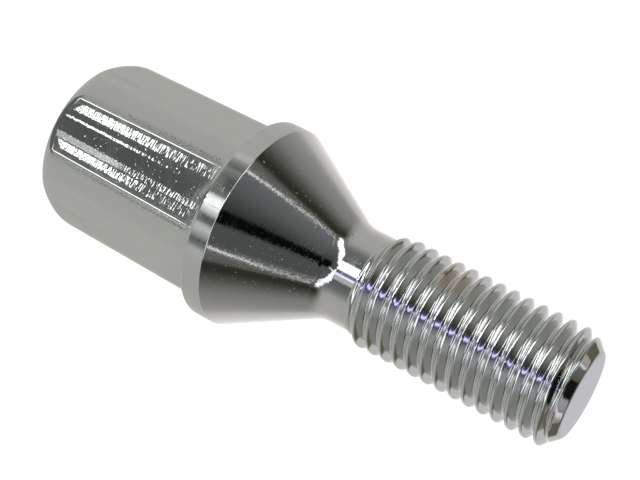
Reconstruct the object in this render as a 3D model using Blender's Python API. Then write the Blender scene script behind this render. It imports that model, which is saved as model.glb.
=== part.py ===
"""Lug bolt with a conical seat: a hexagon head, a collar, a 60 degree cone, a neck and a rolled thread.

The real bolt is one steel forging with a rolled right-hand thread, plated all over, so it is one solid here.
It stands on the end of its head, the only end wide enough to stand on, with the thread upwards along +Z.
Z = 0 is the end of the head, the axis of the bolt is the Z axis, and one wrench flat looks along -Y.

The skin is a grid. Its columns run around the axis, and its rows run from the end of the head to the tip.
Up to the neck each row is level. The thread's rows climb one pitch in a turn, as the real thread does.
"""

import bmesh
import bpy
import numpy as np

MM = 0.001

# Head: a hexagon for a 17 mm socket, its six long edges well rounded, its end rounded off at the corners
across_flats = 17.0 * MM
corner_round = 3.0 * MM
head_height = 20.0 * MM
end_face_margin = 0.5 * MM
end_round_height = 3.0 * MM
head_fillet = 0.6 * MM

# Collar past the hexagon's corners, with its outer edges broken by small rounds
collar_overhang = 1.4 * MM
collar_height = 2.6 * MM
collar_back_round = 0.5 * MM
collar_rim_round = 0.2 * MM

# Conical seat and the neck that it runs into, which is as thick as the core of the thread
cone_angle = np.radians(60.0)
neck_length = 3.1 * MM
neck_fillet = 3.6 * MM

# Metric thread M12 x 1.5, as it measures over its crests after rolling and plating
thread_diameter = 11.75 * MM
thread_pitch = 1.5 * MM
thread_length = 22.7 * MM
thread_run_out = 1.7 * MM
thread_lead_in = np.radians(56.0)
tip_chamfer_depth = 1.5 * MM
tip_chamfer_angle = np.radians(45.0)

# Proportions that every metric thread has: its flank angle, and its crest and root as shares of the pitch
FLANK_ANGLE = np.radians(30.0)
CREST_SHARE = 1 / 8
ROOT_SHARE = 1 / 4

# How finely the skin is divided, and the shortest edge that it keeps where the thread meets its ends
FLAT_STEPS = 4
CORNER_STEPS = 4
ROUND_STEPS = 4
FILLET_STEPS = 4
LEAST_EDGE = 0.02 * MM

FLATS = 6
COLUMNS = FLATS * (FLAT_STEPS + CORNER_STEPS)
FIRST_FLAT = -np.pi / 2

# Radii
apothem = across_flats / 2
flat_half = (apothem - corner_round) * np.tan(np.pi / FLATS)
corner_radius = (apothem - corner_round) / np.cos(np.pi / FLATS) + corner_round
collar_radius = corner_radius + collar_overhang
crest_radius = thread_diameter / 2
thread_depth = thread_pitch * (1 - CREST_SHARE - ROOT_SHARE) / 2 / np.tan(FLANK_ANGLE)
root_radius = crest_radius - thread_depth
tip_radius = crest_radius - tip_chamfer_depth

# Levels along the axis
cone_rim_z = head_height + collar_height
cone_foot_z = cone_rim_z + (collar_radius - root_radius) / np.tan(cone_angle / 2)
thread_start_z = cone_foot_z + neck_length
tip_z = thread_start_z + thread_length


def hexagon_outline():
    """Points and outward normals of the rounded hexagon, anticlockwise from the start of the -Y flat."""
    points = []
    normals = []
    for side in range(FLATS):
        facing = FIRST_FLAT + 2 * np.pi * side / FLATS
        outward = np.array([np.cos(facing), np.sin(facing)])
        along = np.array([-np.sin(facing), np.cos(facing)])
        for step in range(FLAT_STEPS + 1):
            share = 2 * step / FLAT_STEPS - 1
            points.append(apothem * outward + share * flat_half * along)
            normals.append(outward)
        centre = (apothem - corner_round) * outward + flat_half * along
        for step in range(1, CORNER_STEPS):
            turn = facing + 2 * np.pi / FLATS * step / CORNER_STEPS
            normal = np.array([np.cos(turn), np.sin(turn)])
            points.append(centre + corner_round * normal)
            normals.append(normal)
    return np.array(points), np.array(normals)


def column_turns():
    """Angle of each column around the axis on the round rows, evenly spaced, in step with the hexagon."""
    return FIRST_FLAT + 2 * np.pi * (np.arange(COLUMNS) - FLAT_STEPS / 2) / COLUMNS


def row(plan, z):
    """One row of vertices from its plan points and its height, or its heights."""
    return np.column_stack([plan, np.broadcast_to(z, (COLUMNS,))])


def head_rows():
    """Rows of the head: the edge of its end face, the rounding over the corners, the flats and the fillet."""
    outline, normals = hexagon_outline()
    reach = np.linalg.norm(outline, axis=1)
    outward = outline / reach[:, None]
    face_radius = apothem - end_face_margin
    round_reach = corner_radius - face_radius
    full_turn = np.arcsin(np.clip((reach - face_radius) / round_reach, 0, 1))
    fillet = min(head_fillet, collar_overhang - collar_back_round - LEAST_EDGE)
    rows = []
    for step in range(ROUND_STEPS + 1):
        turn = full_turn * step / ROUND_STEPS
        radius = face_radius + round_reach * np.sin(turn)
        rows.append(row(outward * radius[:, None], end_round_height * (1 - np.cos(turn))))
    for step in range(FILLET_STEPS + 1):
        turn = np.pi / 2 * step / FILLET_STEPS
        spread = fillet * (1 - np.cos(turn))
        rows.append(row(outline + spread * normals, head_height - fillet * (1 - np.sin(turn))))
    return rows


def round_profile(centre_r, centre_z, radius, from_turn, to_turn, steps):
    """Points (radius, height) of an arc in the bolt's section, its turns counted from +Z towards outward."""
    turns = np.linspace(from_turn, to_turn, steps + 1)
    return np.column_stack([centre_r + radius * np.sin(turns), centre_z + radius * np.cos(turns)])


def seat_rows(circle):
    """Rows of the collar, the conical seat and the neck, as rings of a turned profile."""
    seat_turn = np.pi / 2 - cone_angle / 2
    rim_tangent = collar_rim_round * np.tan(seat_turn / 2)
    foot_tangent = neck_fillet * np.tan(cone_angle / 4)
    back_edge = round_profile(collar_radius - collar_back_round, head_height + collar_back_round,
                              collar_back_round, np.pi, np.pi / 2, ROUND_STEPS)
    rim_edge = round_profile(collar_radius - collar_rim_round, cone_rim_z - rim_tangent,
                             collar_rim_round, np.pi / 2, np.pi / 2 - cone_angle / 2, ROUND_STEPS)
    foot = round_profile(root_radius + neck_fillet, cone_foot_z + foot_tangent,
                         neck_fillet, -np.pi / 2 - cone_angle / 2, -np.pi / 2, FILLET_STEPS)
    return [row(circle * radius, z) for radius, z in np.vstack([back_edge, rim_edge, foot])]


def thread_rows(circle, turns):
    """Climbing rows along the corners of the thread's section, trimmed by the run-out and the tip's chamfer."""
    crest_half = thread_pitch * CREST_SHARE / 2
    root_half = thread_pitch * ROOT_SHARE / 2
    section = [(-crest_half, crest_radius), (crest_half, crest_radius),
               (thread_pitch / 2 - root_half, root_radius), (thread_pitch / 2 + root_half, root_radius)]
    wound = (turns - FIRST_FLAT - thread_lead_in) / (2 * np.pi)
    growth = thread_depth / thread_run_out
    rows = []
    for pitch_number in range(-2, int(np.ceil(thread_length / thread_pitch)) + 3):
        for offset, radius in section:
            z = thread_start_z + thread_pitch * (pitch_number + wound) + offset
            at_neck = z < thread_start_z + LEAST_EDGE
            at_tip = z > tip_z - LEAST_EDGE
            run_out = root_radius + growth * (z - thread_start_z)
            chamfer = tip_radius + (tip_z - z) * np.tan(tip_chamfer_angle)
            trimmed = np.minimum(radius, np.minimum(run_out, chamfer))
            trimmed = np.where(at_neck, root_radius, np.where(at_tip, tip_radius, trimmed))
            z = np.where(at_neck, thread_start_z, np.where(at_tip, tip_z, z))
            rows.append(row(circle * trimmed[:, None], z))
    return rows, len(section)


def add_band(grid, lower, upper, lower_ahead, upper_ahead):
    """Faces between two rows. Past the last column a climbing row goes on in the row one pitch ahead of it."""
    for column in range(COLUMNS - 1):
        grid.faces.new([lower[column], lower[column + 1], upper[column + 1], upper[column]])
    grid.faces.new([lower[-1], lower_ahead[0], upper_ahead[0], upper[-1]])


def bolt_mesh(name):
    """The closed skin of the bolt, from the flat end of its head to the flat face of its tip."""
    turns = column_turns()
    circle = np.column_stack([np.cos(turns), np.sin(turns)])
    climbing, rows_per_pitch = thread_rows(circle, turns)
    level = head_rows() + seat_rows(circle) + climbing[:1]
    grid = bmesh.new()
    level_verts = [[grid.verts.new(point) for point in line] for line in level]
    climbing_verts = [[grid.verts.new(point) for point in line] for line in climbing]
    for lower, upper in zip(level_verts, level_verts[1:]):
        add_band(grid, lower, upper, lower, upper)
    for at in range(len(climbing_verts) - rows_per_pitch - 1):
        add_band(grid, climbing_verts[at], climbing_verts[at + 1],
                 climbing_verts[at + rows_per_pitch], climbing_verts[at + rows_per_pitch + 1])
    grid.faces.new(level_verts[0][::-1])
    grid.faces.new(climbing_verts[-rows_per_pitch - 1])
    bmesh.ops.remove_doubles(grid, verts=grid.verts, dist=LEAST_EDGE / 100)
    loose = [vert for vert in grid.verts if not vert.link_faces]
    bmesh.ops.delete(grid, geom=loose, context="VERTS")
    bmesh.ops.recalc_face_normals(grid, faces=grid.faces)
    mesh = bpy.data.meshes.new(name)
    grid.to_mesh(mesh)
    grid.free()
    return mesh


def plated_steel():
    """Bright plated steel."""
    material = bpy.data.materials.new("bright_plated_steel")
    material.use_nodes = True
    shader = material.node_tree.nodes["Principled BSDF"]
    shader.inputs["Base Color"].default_value = (0.72, 0.73, 0.74, 1.0)
    shader.inputs["Metallic"].default_value = 1.0
    shader.inputs["Roughness"].default_value = 0.08
    return material


for stray in list(bpy.data.objects):
    bpy.data.objects.remove(stray, do_unlink=True)

bolt = bpy.data.objects.new("lug_bolt", bolt_mesh("lug_bolt"))
bolt.data.materials.append(plated_steel())
bpy.context.scene.collection.objects.link(bolt)
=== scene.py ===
# %% [markdown]
# # A chrome-plated lug bolt
# A lug bolt holds a car's wheel to its hub. This one is a single piece of steel: a hexagon head for the
# wrench, a collar, a conical seat that centres the wheel, a short neck and a rolled thread, all of it under
# bright chrome. Chrome has almost no look of its own. It is a mirror, so the lesson has three parts that
# count equally: a surface whose curves are exact, a finish with small faults in it, and a studio that is
# worth mirroring.
#
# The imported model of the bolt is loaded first. It is exact in size but coarse, so the fine surface made
# below has to fit inside its box.

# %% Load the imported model
import math

import bmesh
import bpy
import numpy as np
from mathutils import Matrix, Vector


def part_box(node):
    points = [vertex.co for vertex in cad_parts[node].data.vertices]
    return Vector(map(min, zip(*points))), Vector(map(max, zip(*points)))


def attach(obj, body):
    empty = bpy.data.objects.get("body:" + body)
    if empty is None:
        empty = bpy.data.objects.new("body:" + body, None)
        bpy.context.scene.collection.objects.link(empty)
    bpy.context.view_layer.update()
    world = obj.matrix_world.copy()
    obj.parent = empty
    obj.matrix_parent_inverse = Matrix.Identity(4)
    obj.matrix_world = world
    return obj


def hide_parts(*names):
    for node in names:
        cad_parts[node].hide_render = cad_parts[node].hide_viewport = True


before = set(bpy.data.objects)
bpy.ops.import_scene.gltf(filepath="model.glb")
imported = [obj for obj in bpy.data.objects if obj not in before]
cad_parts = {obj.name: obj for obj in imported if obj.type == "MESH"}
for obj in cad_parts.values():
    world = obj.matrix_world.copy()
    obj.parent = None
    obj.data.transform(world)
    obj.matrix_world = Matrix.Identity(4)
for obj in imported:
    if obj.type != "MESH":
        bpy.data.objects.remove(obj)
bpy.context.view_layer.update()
cad_low, cad_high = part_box("lug_bolt")
MM = 0.001
print("CAD box in mm:", [round(float(side) / MM, 3) for side in np.subtract(cad_high, cad_low)])

# %% [markdown]
# ## The sizes of the bolt
# The bolt stands on the end of its head, so its axis is the Z axis and every length is a height above that
# end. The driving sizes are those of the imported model. Some forms are finer here, because a mirror finish
# shows them: the head tapers a little, its end is rounder, and the thread's crests and roots are bowed. A
# shape drawn from named sizes can be corrected later by one number, which a sculpted mesh can't.

# %% Sizes in millimetres
across_flats = 17.0
head_draft = 0.08
corner_round = 3.0
corner_round_at_end = 3.4
head_height = 20.0
end_face_radius = 8.0
end_round_radius = 9.2
end_round_height = 3.5
end_widening = 0.16
end_blend = 0.2
head_fillet = 0.6
collar_radius = 10.7508
collar_height = 2.6
collar_back_round = 0.5
collar_rim_round = 0.2
seat_half_angle = math.radians(30)
neck_length = 3.1
neck_fillet = 3.6
thread_diameter = 11.75
thread_pitch = 1.5
thread_length = 22.7
thread_run_out = 1.7
thread_lead_in = math.radians(56)
tip_chamfer_depth = 1.5
tip_edge = 0.16
flank_angle = math.radians(30)
crest_share = 0.19
root_share = 0.185
crest_bow = 1.0
root_bow = 1.0
crest_soft = 0.08
root_soft = 0.12

apothem = across_flats / 2
crest_radius = thread_diameter / 2
thread_depth = thread_pitch * (1 - crest_share - root_share) / 2 / math.tan(flank_angle)
root_radius = crest_radius - thread_depth
tip_radius = crest_radius - tip_chamfer_depth

rim_z = head_height + collar_height
foot_z = rim_z + (collar_radius - root_radius) / math.tan(seat_half_angle)
thread_z = foot_z + neck_length
tip_z = thread_z + thread_length
print(f"cone from z {rim_z:.2f} to {foot_z:.2f}, thread from {thread_z:.2f} to {tip_z:.2f} mm")

# %% [markdown]
# ## The columns of the skin
# The whole bolt is one skin, as on the real one, and the skin is a grid: columns run along the bolt, rows
# run round it. One could also join a prism, a few turned pieces and a coil with Booleans, but every seam
# then shows in a mirror finish. On one grid, the surface passes from hexagon to circle without a seam.
#
# A column has a place on the hexagon and a place on the circle. The hexagon's points crowd together at the
# ends of each flat, so that the smooth shading of the rounded edge doesn't leak on to the flat. A forged head
# leaves its die only if it is tapered, so the hexagon grows a little from the head's end to the collar.

# %% Columns on the hexagon and on the circle
FLATS = 6
FLAT_SHARES = np.array([-1, -0.98, -0.9, -0.7, -0.4, 0, 0.4, 0.7, 0.9, 0.98, 1])
CORNER_STEPS = 15
CORNER_TURNS = np.linspace(0, 1, CORNER_STEPS + 1)[1:-1] * 2 * math.pi / FLATS
FIRST_FLAT = -math.pi / 2
COLUMNS = FLATS * (len(FLAT_SHARES) + len(CORNER_TURNS))


def hexagon(z):
    """Tapered hexagon with rounded edges at the heights z, a column of numbers. A point is (half width -
    rounding) outwards, plus its slide along the flat, plus the rounding along its normal. On an edge the
    slide stays at the flat's end. Returns points, normals and mm from the flat's middle."""
    share = z / head_height
    half = apothem + head_draft * share
    rounding = corner_round_at_end + (corner_round - corner_round_at_end) * share
    flat_half = (half - rounding) * math.tan(math.pi / FLATS)
    sides = np.repeat(FIRST_FLAT + np.arange(FLATS) * 2 * math.pi / FLATS, COLUMNS // FLATS)
    turns = np.tile(np.concatenate([0 * FLAT_SHARES, CORNER_TURNS]), FLATS)
    slides = np.tile(np.concatenate([FLAT_SHARES, 0 * CORNER_TURNS + 1]), FLATS) * flat_half
    normals = np.stack([np.cos(sides + turns), np.sin(sides + turns)], axis=1)[None]
    outward = np.stack([np.cos(sides), np.sin(sides)], axis=1)[None]
    along = np.stack([-np.sin(sides), np.cos(sides)], axis=1)[None]
    points = (half - rounding)[:, :, None] * outward + slides[:, :, None] * along \
        + rounding[:, :, None] * normals
    across = slides + rounding * turns
    return points, np.broadcast_to(normals, points.shape), across


column_turns = FIRST_FLAT + 2 * math.pi * (np.arange(COLUMNS) - (len(FLAT_SHARES) - 1) / 2) / COLUMNS
circle = np.stack([np.cos(column_turns), np.sin(column_turns)], axis=1)
top_outline, top_normals, top_across = hexagon(np.array([[head_height]]))
corner_radius = float(np.linalg.norm(top_outline, axis=2).max())
print(f"columns: {COLUMNS}, widest across the corners: {2 * corner_radius:.2f} mm")

# %% [markdown]
# ## The head
# The head's end is rolled over, as a forging die leaves it: seen alone, that end is a flat disc whose edge
# bends over in a quarter of an ellipse. The head is whatever lies inside both this dome and the hexagon. A
# plain minimum of the two would leave a hard arched edge on every flat, so the two are blended: where their
# radii differ by less than the blend, the surface eases from one to the other. Only this ease makes the
# flat end in the soft, rounded way that a mirror finish shows so plainly.


# %% Rows of the head
DISC_SHARES = np.array([0.03, 0.3, 0.6, 0.85, 0.98])
ROLL_STEPS = 34
ROLL_CROWDING = 1.15
WALL_SHARES = np.array([0.02, 0.1, 0.2, 0.3, 0.5, 0.75, 0.99])
FILLET_STEPS = 9


def rows_of(plan, heights):
    """Plan points (rows, columns, 2) with their heights, spread over the columns, as (rows, columns, 3)."""
    heights = np.broadcast_to(heights, plan.shape[:2])
    return np.concatenate([plan, heights[:, :, None]], axis=2)


def eased_minimum(first, second, blend):
    """The smaller of two, eased where they are close: first h + second (1 - h) - blend h (1 - h), where
    h = (second - first) / (2 blend) + 1/2, held within 0 to 1."""
    h = np.clip(0.5 + 0.5 * (second - first) / blend, 0, 1)
    return second * (1 - h) + first * h - blend * h * (1 - h)


def head_rows():
    """From the middle of the end outwards, over the rolled edge, up the flats and through the fillet. The
    dome has radius = end radius + reach sin(turn) + widening z at height z = end height (1 - cos(turn)),
    and past its quarter turn it only widens with the height."""
    turn = np.linspace(0, 1, ROLL_STEPS + 1)[:, None] ** ROLL_CROWDING * math.pi / 2
    top = head_height - head_fillet
    wall_z = end_round_height + WALL_SHARES[:, None] * (top - end_round_height)
    z = np.concatenate([end_round_height * (1 - np.cos(turn)), wall_z])
    points, normals, across = hexagon(z)
    reach = np.linalg.norm(points, axis=2)
    rolled = np.concatenate([np.sin(turn), 0 * wall_z + 1])
    dome = end_face_radius + (end_round_radius - end_face_radius) * rolled + end_widening * z
    radius = eased_minimum(reach, dome, end_blend)
    sides = rows_of(points * (radius / reach)[:, :, None], z)
    disc = DISC_SHARES[:, None, None] * sides[:1, :, :2]
    fillet_turn = np.linspace(0, math.pi / 2, FILLET_STEPS + 1)[:, None]
    fillet_outline, fillet_normals, _ = hexagon(0 * fillet_turn + top)
    fillet = fillet_outline + head_fillet * (1 - np.cos(fillet_turn))[:, :, None] * fillet_normals
    fillet = rows_of(fillet, top + head_fillet * np.sin(fillet_turn))
    return np.concatenate([rows_of(disc, 0), sides, fillet])


head = head_rows()
print("head rows:", len(head), "height:", round(head[:, :, 2].max(), 3))

# %% [markdown]
# ## Collar, conical seat and neck
# These were turned, or forged as if turned, so they are one profile swept round the axis. The profile is a
# chain of arcs, and the straight stretches between them are simply the gaps between one arc's end and the
# next one's start. A support point close to each end of a long stretch keeps it optically straight.


# %% Arcs and support points
def arc(centre_r, centre_z, radius, start, end, steps):
    """Arc in the section: r = centre + radius sin(turn) and z = centre + radius cos(turn), so its turns are
    counted from +Z outwards."""
    turn = np.linspace(start, end, steps + 1)
    return np.stack([centre_r + radius * np.sin(turn), centre_z + radius * np.cos(turn)], axis=1)


def supported(points, margin, long_stretch):
    """Adds a point near both ends and in the middle of each stretch longer than long_stretch."""
    gap = np.diff(points, axis=0)
    length = np.linalg.norm(gap, axis=1)
    at = np.nonzero(length > long_stretch)[0]
    step = gap[at] / length[at, None] * margin
    extra = np.concatenate([points[at] + step, points[at] + gap[at] / 2, points[at + 1] - step])
    order = np.concatenate([at + 0.25, at + 0.5, at + 0.75])
    everything = np.concatenate([points, extra])
    return everything[np.argsort(np.concatenate([np.arange(len(points)), order]), kind="stable")]


print("points of a quarter arc in four steps:", len(arc(0, 0, 1, 0, math.pi / 2, 4)))

# %% Rows of the turned part
BACK_STEPS = 10
RIM_STEPS = 6
FOOT_STEPS = 16
COLLAR_FACE_GAP = 0.06
NECK_END_GAP = 0.05
SUPPORT_MARGIN = 0.04
LONG_STRETCH = 0.8


def seat_profile():
    """Collar back edge, collar rim, cone and the fillet into the neck, as (radius, height)."""
    rim_tangent = collar_rim_round * math.tan((math.pi / 2 - seat_half_angle) / 2)
    foot_tangent = neck_fillet * math.tan(seat_half_angle / 2)
    right = math.pi / 2
    profile = np.concatenate([
        [[corner_radius + head_fillet + COLLAR_FACE_GAP, head_height]],
        arc(collar_radius - collar_back_round, head_height + collar_back_round, collar_back_round,
            math.pi, right, BACK_STEPS),
        arc(collar_radius - collar_rim_round, rim_z - rim_tangent, collar_rim_round,
            right, right - seat_half_angle, RIM_STEPS),
        arc(root_radius + neck_fillet, foot_z + foot_tangent, neck_fillet,
            -right - seat_half_angle, -right, FOOT_STEPS),
        [[root_radius, thread_z - NECK_END_GAP]]])
    return supported(profile, SUPPORT_MARGIN, LONG_STRETCH)


seat = seat_profile()
seat_grid = rows_of(circle[None] * seat[:, 0, None, None], seat[:, 1, None])
print("turned rows:", len(seat_grid))

# %% [markdown]
# ## The thread
# A rolled thread is a ridge that climbs one pitch in each turn. Its section has flanks of 30 degrees, as on
# every metric thread. Rolling dies and plating leave its crest and its root slightly bowed, and each bow
# mirrors the window as one bright line. A Screw modifier could sweep such a section, yet its two ends would
# stay raw. Here the rows of the grid climb instead: past the last column a row goes on as the row one pitch
# further, and at both ends the rows are pressed flat against a level ring, where merging closes them.
# Right-handed means that the height grows as the turn goes anticlockwise, seen from the tip.

# %% Section of the thread
CREST_HALF = crest_share * thread_pitch / 2
ROOT_FROM = (1 - root_share) * thread_pitch / 2
CREST_EASE = crest_soft * math.tan(flank_angle)
ROOT_EASE = root_soft * math.tan(flank_angle)
CREST_POINT = 0.35
EASE_POINTS = 6
ROOT_EASE_END = 0.9
half_steps = np.concatenate([
    [0, CREST_HALF * CREST_POINT], CREST_HALF + CREST_EASE * np.linspace(-1, 1, EASE_POINTS),
    [(CREST_HALF + ROOT_FROM) / 2], ROOT_FROM + ROOT_EASE * np.linspace(-1, ROOT_EASE_END, EASE_POINTS),
    [thread_pitch / 2]])
PITCH_STEPS = np.concatenate([half_steps, thread_pitch - half_steps[-2:0:-1]]) / thread_pitch
ROWS_PER_PITCH = len(PITCH_STEPS)


def section_radius(phase):
    """Flank line, whose radius falls by 1 / tan(flank) per mm from the crest's edge, eased into the bowed
    crest above and the bowed root below. A bow of radius R moves them by x^2 / (2 R) at x mm from their
    middle."""
    x = thread_pitch * np.abs(np.mod(phase + 0.5, 1) - 0.5)
    flank = crest_radius - (x - CREST_HALF) / math.tan(flank_angle)
    crest = crest_radius - x ** 2 / (2 * crest_bow)
    root = root_radius + (thread_pitch / 2 - x) ** 2 / (2 * root_bow)
    return -eased_minimum(-eased_minimum(flank, crest, crest_soft), -root, root_soft)


print(f"thread {thread_depth:.2f} mm deep before its bows, rows in one pitch: {ROWS_PER_PITCH}")

# %% Rows of the thread
PITCHES_BELOW = 2
PITCHES_MORE = 5
SWELL_LEAD = 0.2
LEVEL_MARGIN = 0.01
helix_end_z = tip_z - tip_edge


def smooth_step(value, low, high):
    """0 below low, 1 above high, and 3t^2 - 2t^3 between."""
    t = np.clip((value - low) / (high - low), 0, 1)
    return t * t * (3 - 2 * t)


def thread_rows():
    """z = start + pitch (phase + turn / 2 pi), and r is the section at that phase, faded in at the neck and
    cut by the tip's cone, whose radius falls as fast as the height grows."""
    pitches = np.arange(math.ceil(thread_length / thread_pitch) + PITCHES_MORE) - PITCHES_BELOW
    phase = (pitches[:, None] + PITCH_STEPS).reshape(-1, 1)
    wound = (column_turns - FIRST_FLAT - thread_lead_in)[None] / (2 * math.pi)
    z = thread_z + thread_pitch * (phase + wound)
    swell = smooth_step(z, thread_z - SWELL_LEAD, thread_z + thread_run_out)
    radius = root_radius + (section_radius(phase) - root_radius) * swell
    cone = tip_radius + (tip_z - z)
    radius = np.minimum(radius, cone)
    at_neck = z < thread_z + LEVEL_MARGIN
    at_tip = z > helix_end_z - LEVEL_MARGIN
    z = np.where(at_neck, thread_z, np.where(at_tip, helix_end_z, z))
    radius = np.where(at_neck, root_radius, np.where(at_tip, tip_radius + tip_edge, radius))
    return rows_of(circle[None] * radius[:, :, None], z)


thread = thread_rows()
print("thread rows:", len(thread))

# %% Rows of the tip
TIP_EDGE_STEPS = 6
TIP_EDGE_REACH = 1.5
TIP_FACE_SHARES = (0.98, 0.8, 0.5, 0.2, 0.03)


def tip_rows():
    """The softened edge between chamfer and tip face, a quadratic curve drawn towards the sharp corner, and
    then the face."""
    soft = np.linspace(0, 1, TIP_EDGE_STEPS + 1)[1:]
    start = np.array([tip_radius + tip_edge, helix_end_z])
    corner = np.array([tip_radius, tip_z])
    end = np.array([tip_radius - tip_edge * TIP_EDGE_REACH, tip_z])
    curve = ((1 - soft) ** 2)[:, None] * start + (2 * soft * (1 - soft))[:, None] * corner \
        + (soft ** 2)[:, None] * end
    face = np.array([[share * end[0], tip_z] for share in TIP_FACE_SHARES])
    profile = np.concatenate([curve, face])
    return rows_of(circle[None] * profile[:, 0, None, None], profile[:, 1, None])


tip = tip_rows()
print("tip rows:", len(tip))

# %% [markdown]
# ## One closed mesh
# The rows become one mesh. Equal neighbours are merged, which closes the thread's two ends, and each end of
# the bolt gets one small face over its middle. Every face also remembers where it is: a UV map named
# "lay" holds the distance round the bolt and the height, both in millimetres, for patterns that follow the
# surface, such as the marks along the flats.


# %% Faces between rows
def quads(count, ahead, start=0):
    """Corner indices of the quads between consecutive rows. The last column joins the first one of the row
    that is ahead rows further."""
    lower = np.arange(count)[:, None]
    column = np.arange(COLUMNS)[None]
    following = (column + 1) % COLUMNS
    jump = np.where(following == 0, ahead, 0)
    corners = [lower * COLUMNS + column, (lower + jump) * COLUMNS + following,
               (lower + 1 + jump) * COLUMNS + following, (lower + 1) * COLUMNS + column]
    return start + np.stack(np.broadcast_arrays(*corners), axis=2).reshape(-1, 4)


print("faces between two rows:", len(quads(1, 0)))

# %% Mesh with its map
SIDE_SPACING = 40.0


def bolt_mesh():
    """All rows as one mesh with its UV map, before merging."""
    level = np.concatenate([head, seat_grid, thread[:1]])
    last_ring = thread[-1:]
    upper = np.concatenate([last_ring, tip])
    points = np.concatenate([level, thread, upper]).reshape(-1, 3)
    thread_start = len(level) * COLUMNS
    upper_start = thread_start + len(thread) * COLUMNS
    faces = np.concatenate([quads(len(level) - 1, 0),
                            quads(len(thread) - ROWS_PER_PITCH - 1, ROWS_PER_PITCH, thread_start),
                            quads(len(upper) - 1, 0, upper_start)])
    bottom = np.arange(COLUMNS)[::-1]
    top = np.arange(COLUMNS) + upper_start + (len(upper) - 1) * COLUMNS
    mesh = bpy.data.meshes.new("lug_bolt_skin")
    mesh.from_pydata((points * MM).tolist(), [], faces.tolist() + [bottom.tolist(), top.tolist()])
    side_number = np.repeat(np.arange(FLATS), COLUMNS // FLATS)
    across = np.tile(top_across[0] + SIDE_SPACING * side_number, len(points) // COLUMNS)
    lay = np.stack([across, points[:, 2]], axis=1)
    corner_verts = np.empty(len(mesh.loops), dtype=np.int32)
    mesh.loops.foreach_get("vertex_index", corner_verts)
    uv = mesh.uv_layers.new(name="lay")
    uv.data.foreach_set("uv", (lay[corner_verts] * MM).astype(np.float32).ravel())
    return mesh


skin = bolt_mesh()
print("faces before merging:", len(skin.polygons))

# %% Merging
MERGE_DISTANCE = 0.0004


def merged(mesh, distance):
    """Merges equal neighbours and drops faces and points that are left with no size."""
    work = bmesh.new()
    work.from_mesh(mesh)
    bmesh.ops.remove_doubles(work, verts=work.verts, dist=distance)
    bmesh.ops.delete(work, geom=[v for v in work.verts if not v.link_faces], context="VERTS")
    bmesh.ops.recalc_face_normals(work, faces=work.faces)
    open_edges = sum(1 for edge in work.edges if len(edge.link_faces) != 2)
    work.to_mesh(mesh)
    work.free()
    print("open edges:", open_edges, "faces:", len(mesh.polygons))


merged(skin, MERGE_DISTANCE * MM)

# %% The bolt in the scene
skin.shade_smooth()
bolt = bpy.data.objects.new("lug_bolt_plated", skin)
bpy.context.scene.collection.objects.link(bolt)
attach(bolt, "root")
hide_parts("lug_bolt")
print("vertices of the bolt:", len(skin.vertices))

# %% [markdown]
# ## Numbers that a shader works out
# Both the finish and the studio are formulas of place or direction. Written as loose nodes they are hard to
# read, so a small class does the wiring: sums and products of its fields become Math nodes.


# %% Fields
class Field:
    """A number that a shader works out at every point, as the output socket of a node in a tree."""

    def __init__(self, tree, socket):
        self.tree = tree
        self.socket = socket

    def math(self, operation, *others):
        """A Math node with this field as its first input."""
        made = self.tree.nodes.new("ShaderNodeMath")
        made.operation = operation
        for at, other in enumerate((self, *others)):
            feed(self.tree, other, made.inputs[at])
        return Field(self.tree, made.outputs[0])

    def __add__(self, other):
        return self.math("ADD", other)

    def __sub__(self, other):
        return self.math("SUBTRACT", other)

    def __mul__(self, other):
        return self.math("MULTIPLY", other)

    def size(self):
        """The field without its sign."""
        return self.math("ABSOLUTE")


def feed(tree, value, socket):
    """Sets a socket to a number or colour, or links a field or another socket to it."""
    if isinstance(value, Field):
        value = value.socket
    if isinstance(value, bpy.types.NodeSocket):
        tree.links.new(value, socket)
    else:
        socket.default_value = value


# %% Masks and colours
def rise(field, low, high):
    """0 below low, 1 above high, eased between. Falls instead when low is the larger."""
    made = field.tree.nodes.new("ShaderNodeMapRange")
    made.interpolation_type = "SMOOTHSTEP"
    feed(field.tree, field, made.inputs["Value"])
    made.inputs["From Min"].default_value = low
    made.inputs["From Max"].default_value = high
    return Field(field.tree, made.outputs["Result"])


def inside(field, low, high, soft):
    """1 between low and high, which may be fields, with edges that are soft wide."""
    return rise(field - low, -soft / 2, soft / 2) * rise(field - high, soft / 2, -soft / 2)


def linear(level):
    """Screen levels from 0 to 255 as linear light, by the sRGB curve."""
    share = np.asarray(level, float) / 255
    return np.where(share <= 0.04045, share / 12.92, ((share + 0.055) / 1.055) ** 2.4)


def painted(tree, mask, below, above):
    """Mixes from one colour, given as a socket or four numbers, to another by a mask."""
    made = tree.nodes.new("ShaderNodeMix")
    made.data_type = "RGBA"
    feed(tree, mask, made.inputs["Factor"])
    feed(tree, below, made.inputs[6])
    feed(tree, above, made.inputs[7])
    return made.outputs[2]


print("mid grey on the screen is a light of", round(float(linear(128)), 3))

# %% [markdown]
# ## The finish
# Chrome is a metal with a very low roughness, so the plain shader is quickly made. A real plated bolt has
# been forged, turned, rolled, plated and handled, and each of these leaves faults: they tell the eye that
# this is metal and not a drawing. The colour is a little darker and greener than that of real chrome, so that
# the grooves of the thread, which take it twice or three times, come out deep and greenish, as thick plating
# does.

# %% Plain chrome
CHROME = np.array([0.52, 0.57, 0.55])


def chrome_material(name):
    """A material with a bare chrome shader. Returns the material, its tree and the shader."""
    material = bpy.data.materials.new(name)
    material.use_nodes = True
    shader = material.node_tree.nodes["Principled BSDF"]
    shader.inputs["Metallic"].default_value = 1.0
    return material, material.node_tree, shader


print("light that the chrome gives back:", CHROME.tolist())


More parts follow.
